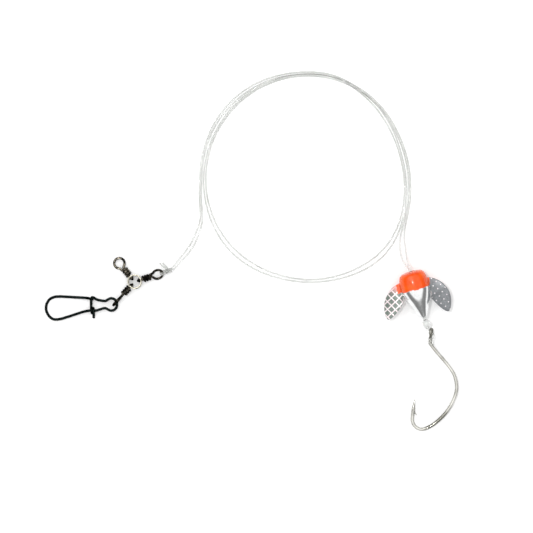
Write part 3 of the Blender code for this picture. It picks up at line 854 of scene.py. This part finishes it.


# Each film's first list of colours is the bright colour of its lattice, a painted sheen.
FILMS = {
    "left": film_material(
        "left", 62.0, [(0.35, (0.93, 0.74, 0.78)), (0.65, (1.0, 0.97, 0.96))],
        (0.20, 0.235, 0.21), 0.13, 0.17,
    ),
    "right": film_material(
        "right", 49.0, [(0.35, (0.85, 0.74, 0.80)), (0.65, (0.97, 0.97, 0.95))],
        (0.19, 0.20, 0.21), 0.0, 0.13,
    ),
}
ALONG, ACROSS = 48, 16
for side, wing in WINGS.items():
    grid = [
        wing_point(wing, i / ALONG, 2 * j / ACROSS - 1)
        for i in range(ALONG + 1)
        for j in range(ACROSS + 1)
    ]
    row = ACROSS + 1
    quads = [
        (i * row + j, (i + 1) * row + j, (i + 1) * row + j + 1, i * row + j + 1)
        for i in range(ALONG)
        for j in range(ACROSS)
    ]
    blade = mesh_object(f"wing_film_{side}", grid, quads, FLOAT, FILMS[side])
    skin = blade.modifiers.new("film", "SOLIDIFY")
    skin.thickness = FILM_THICKNESS * MM
    skin.offset = 0.0
    finish_piece(blade, f"wing_{side}", "wing_film", f"wing_{side}")

# ---------------------------------------------------------------- the bead

tilt = math.asin(LINE_BORE_RADIUS / BEAD_RADIUS)
outline = [
    (BEAD_STATION + BEAD_RADIUS * math.cos(a), BEAD_RADIUS * math.sin(a))
    for a in np.linspace(math.pi - tilt, tilt, 25)
]
bead = turned("bead_clear", outline, 48, FLOAT, bead_material())
finish_piece(bead, "bead", "clear_bead", "bead")

# ---------------------------------------------------------------- the hook and its snell

nickel = metal(
    "hook_nickel", (0.20, 0.197, 0.17), (0.76, 0.75, 0.70), (0.07, 0.15), (0.05, 0.05, 0.04),
    patches=75.0, span=(0.36, 0.6),
)
HOOK_OUTLINE = [
    (-0.42, -2.6), (-0.4, -4.2), (0.0, -5.6), (1.5, -7.6), (3.7, -10.2),
    (7.5, -14.7), (10.1, -18.8), (11.15, -23.3), (10.9, -26.8), (9.2, -31.3),
    (6.4, -35.7), (2.5, -39.6), (-0.9, -41.9), (-4.3, -42.9), (-7.0, -41.6),
    (-8.2, -39.2), (-8.1, -36.6), (-7.7, -33.4), (-7.15, -29.6),
]
eye_roll = math.radians(HOOK_EYE_ROLL)
eye_turn = [
    (
        HOOK_EYE_RADIUS * math.cos(a) * math.cos(eye_roll),
        HOOK_EYE_RADIUS * math.sin(a),
        -HOOK_EYE_RADIUS * math.cos(a) * math.sin(eye_roll),
    )
    for a in np.radians(np.linspace(-60.0, 240.0, 20))
]
hook_path = smooth_path(eye_turn + [(x, y, 0.0) for x, y in HOOK_OUTLINE], 0.45)
steps = np.linalg.norm(np.diff(hook_path, axis=0), axis=1)
from_eye = np.concatenate([[0.0], np.cumsum(steps)])
to_point = from_eye[-1] - from_eye
radii = np.interp(
    from_eye, [HOOK_TAPER_FROM, HOOK_TAPER_TO], [HOOK_EYE_WIRE, HOOK_WIRE_RADIUS],
)
radii *= np.clip(POINT_BLUNTNESS + to_point / POINT_LENGTH, 0.0, 1.0) ** POINT_FULLNESS
hook = tube("hook_wire", hook_path, radii, HOOK, nickel, 20, ("flat", "round"))
barb = tube(
    "barb", [(-7.72, -34.6, 0.0), (-7.35, -35.3, 0.0), (-6.25, -36.82, 0.0)],
    np.array([0.62, 0.42, 0.05]), HOOK, nickel, 12, ("flat", "round"),
)
cut(hook, barb, "UNION")
finish_piece(hook, "hook", "hook_nickel", "hook")

SNELL_FROM, SNELL_TO = Vector((-0.4, -2.4, 0.0)), Vector((-0.1, -5.6, 0.0))
SNELL_TURNS = 4.5
snell_radius = HOOK_WIRE_RADIUS + STRAND_RADIUS
snell = []
for angle in np.linspace(0.0, 2 * math.pi * SNELL_TURNS, 90):
    middle = SNELL_FROM.lerp(SNELL_TO, angle / (2 * math.pi * SNELL_TURNS))
    around = Vector((math.cos(angle), 0.0, math.sin(angle)))
    snell.append(tuple(middle + snell_radius * around))
piece = tube("snell_turns", smooth_path(snell, 0.3), STRAND_RADIUS, HOOK, fine_line, LINE_SIDES)
finish_piece(piece, "hook", "clear_line", "snell_wraps")
SNELL_HALF_GAP = 0.34
for letter, side in (("a", SNELL_HALF_GAP), ("b", -SNELL_HALF_GAP)):
    lead = [
        (-1.6, 1.75, 0.25 + 0.1 * side), (-0.75, 0.85, 0.15 + side), (0.15, 0.0, side),
        (0.85, -0.9, 0.25 + side), (0.95, -1.9, 0.3 + side), (0.75, -2.9, 0.3 + side),
    ]
    path = smooth_path(lead, 0.3)
    piece = tube(f"snell_lead_{letter}", path, STRAND_RADIUS, HOOK, fine_line, LINE_SIDES)
    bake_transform(piece)

# ---------------------------------------------------------------- light and floor

# The sky's brightness by height, from 0 at the horizon to 1 overhead.
SKY = ((0.02, 0.42), (0.14, 0.20), (0.46, 0.24), (0.60, 1.0))
SKY_STRENGTH = 1.22
# Each lamp's place, size and power, in metres and watts.
LAMPS = {"softbox": ((-0.45, 0.55, 1.2), 0.9, 3.0), "small_lamp": ((-0.16, 0.12, 1.3), 0.08, 4.0)}
FLOOR_HALF_WIDTH = 3000
FLOOR_WHITES = [(0.3, (0.915, 0.915, 0.913)), (0.7, (0.925, 0.925, 0.924))]

world = bpy.data.worlds.new("studio")
bpy.context.scene.world = world
world.use_nodes = True
tree = world.node_tree
background = tree.nodes["Background"]
coordinates = tree.nodes.new("ShaderNodeTexCoord")
split = tree.nodes.new("ShaderNodeSeparateXYZ")
sky = tree.nodes.new("ShaderNodeValToRGB")
while len(sky.color_ramp.elements) < len(SKY):
    sky.color_ramp.elements.new(0.5)
for element, (height, level) in zip(sky.color_ramp.elements, SKY):
    element.position = height
    element.color = (level, level, level, 1.0)
tree.links.new(coordinates.outputs["Generated"], split.inputs["Vector"])
tree.links.new(split.outputs["Z"], sky.inputs["Fac"])
tree.links.new(sky.outputs["Color"], background.inputs["Color"])
background.inputs["Strength"].default_value = SKY_STRENGTH

for name, (place, size, energy) in LAMPS.items():
    lamp_data = bpy.data.lights.new(name, "AREA")
    lamp_data.shape = "DISK"
    lamp_data.size = size
    lamp_data.energy = energy
    lamp = bpy.data.objects.new(name, lamp_data)
    lamp.location = place
    lamp.rotation_euler = (-Vector(place)).to_track_quat("-Z", "Y").to_euler()
    bpy.context.scene.collection.objects.link(lamp)

floor_paint = Paint(
    "floor", FLOOR_WHITES[0][1], 0.85, Emission_Color=(1.0, 1.0, 1.0, 1.0), Emission_Strength=0.05,
)
floor_paint.colour(floor_paint.ramp(floor_paint.noise(9.0, 2.0), FLOOR_WHITES))
corners = [
    (x * FLOOR_HALF_WIDTH, y * FLOOR_HALF_WIDTH, 0) for x, y in ((-1, -1), (1, -1), (1, 1), (-1, 1))
]
floor = mesh_object("floor", corners, [(0, 1, 2, 3)], Matrix.Identity(4), floor_paint.material)
